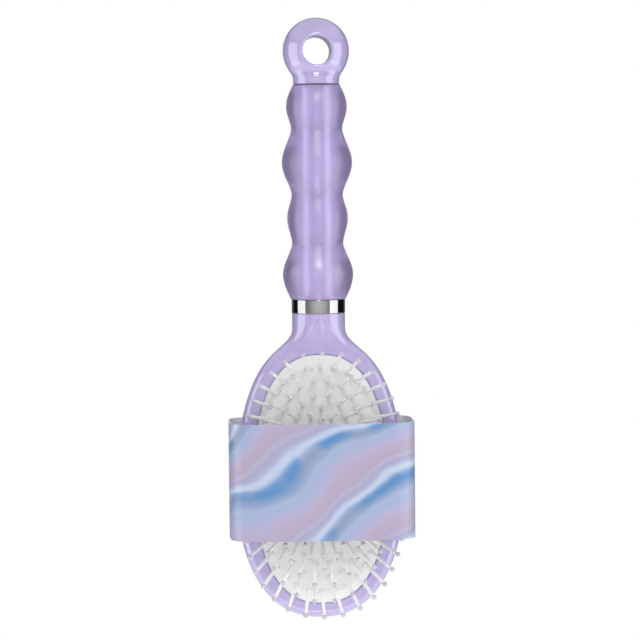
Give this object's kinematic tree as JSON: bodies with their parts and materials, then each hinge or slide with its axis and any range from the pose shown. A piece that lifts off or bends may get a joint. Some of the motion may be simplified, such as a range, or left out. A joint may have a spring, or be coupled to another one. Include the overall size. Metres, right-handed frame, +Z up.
{
  "type": "detangling hair brush",
  "caption": "Oval cushion hair brush: ball-tipped pins in rings on a crowned rubber pad, a waisted gel grip, a metal collar, a hanging loop and a card sleeve round the head.",
  "frame": {"origin": "centre of the round hole in the hang loop", "axes": "+Z up along the handle, from the head towards the hang loop; -Y the way the pins point; +X to the right for someone who faces the pins"},
  "size_m": [0.0732, 0.0439, 0.2396],
  "materials": {
    "lavender_plastic": "gloss",
    "purple_gel": "frosted and translucent",
    "core_plastic": "as moulded",
    "chrome_collar": "polished",
    "white_rubber": "satin",
    "white_nylon": "satin",
    "lavender_beads": "gloss",
    "printed_card": "satin print"
  },
  "bodies": {
    "brush": {"hang_loop": "lavender_plastic", "gel_grip": "purple_gel", "handle_core": "core_plastic", "ferrule": "chrome_collar", "paddle": "lavender_plastic", "cushion": "white_rubber"},
    "middle_row": {"middle_pins": "white_nylon", "middle_tips": "lavender_beads"},
    "fourth_ring": {"fourth_pins": "white_nylon", "fourth_tips": "lavender_beads"},
    "third_ring": {"third_pins": "white_nylon", "third_tips": "lavender_beads"},
    "second_ring": {"second_pins": "white_nylon", "second_tips": "lavender_beads"},
    "outer_ring": {"outer_pins": "white_nylon", "outer_tips": "lavender_beads"},
    "sleeve": {"card_sleeve": "printed_card"}
  },
  "joints": [
    {"name": "cushion_press", "type": "slide", "parent": "brush", "child": "middle_row", "axis": [0, 1, 0], "range_m": [0, 0.003], "stiffness_N_per_m": 600, "deforming": ["cushion"]},
    {"name": "fourth_press", "type": "slide", "parent": "brush", "child": "fourth_ring", "axis": [0, 1, 0], "range_m": [0, 0.00279], "deforming": ["cushion"]},
    {"name": "third_press", "type": "slide", "parent": "brush", "child": "third_ring", "axis": [0, 1, 0], "range_m": [0, 0.00231], "deforming": ["cushion"]},
    {"name": "second_press", "type": "slide", "parent": "brush", "child": "second_ring", "axis": [0, 1, 0], "range_m": [0, 0.00162], "deforming": ["cushion"]},
    {"name": "outer_press", "type": "slide", "parent": "brush", "child": "outer_ring", "axis": [0, 1, 0], "range_m": [0, 0.00072], "deforming": ["cushion"]},
    {"name": "sleeve_slide", "type": "slide", "parent": "brush", "child": "sleeve", "axis": [0, 0, -1], "range_m": [0, 0.085]}
  ],
  "couplings": [
    {"joint": "fourth_press", "follows": "cushion_press", "ratio": 0.93},
    {"joint": "third_press", "follows": "cushion_press", "ratio": 0.77},
    {"joint": "second_press", "follows": "cushion_press", "ratio": 0.54},
    {"joint": "outer_press", "follows": "cushion_press", "ratio": 0.24}
  ]
}
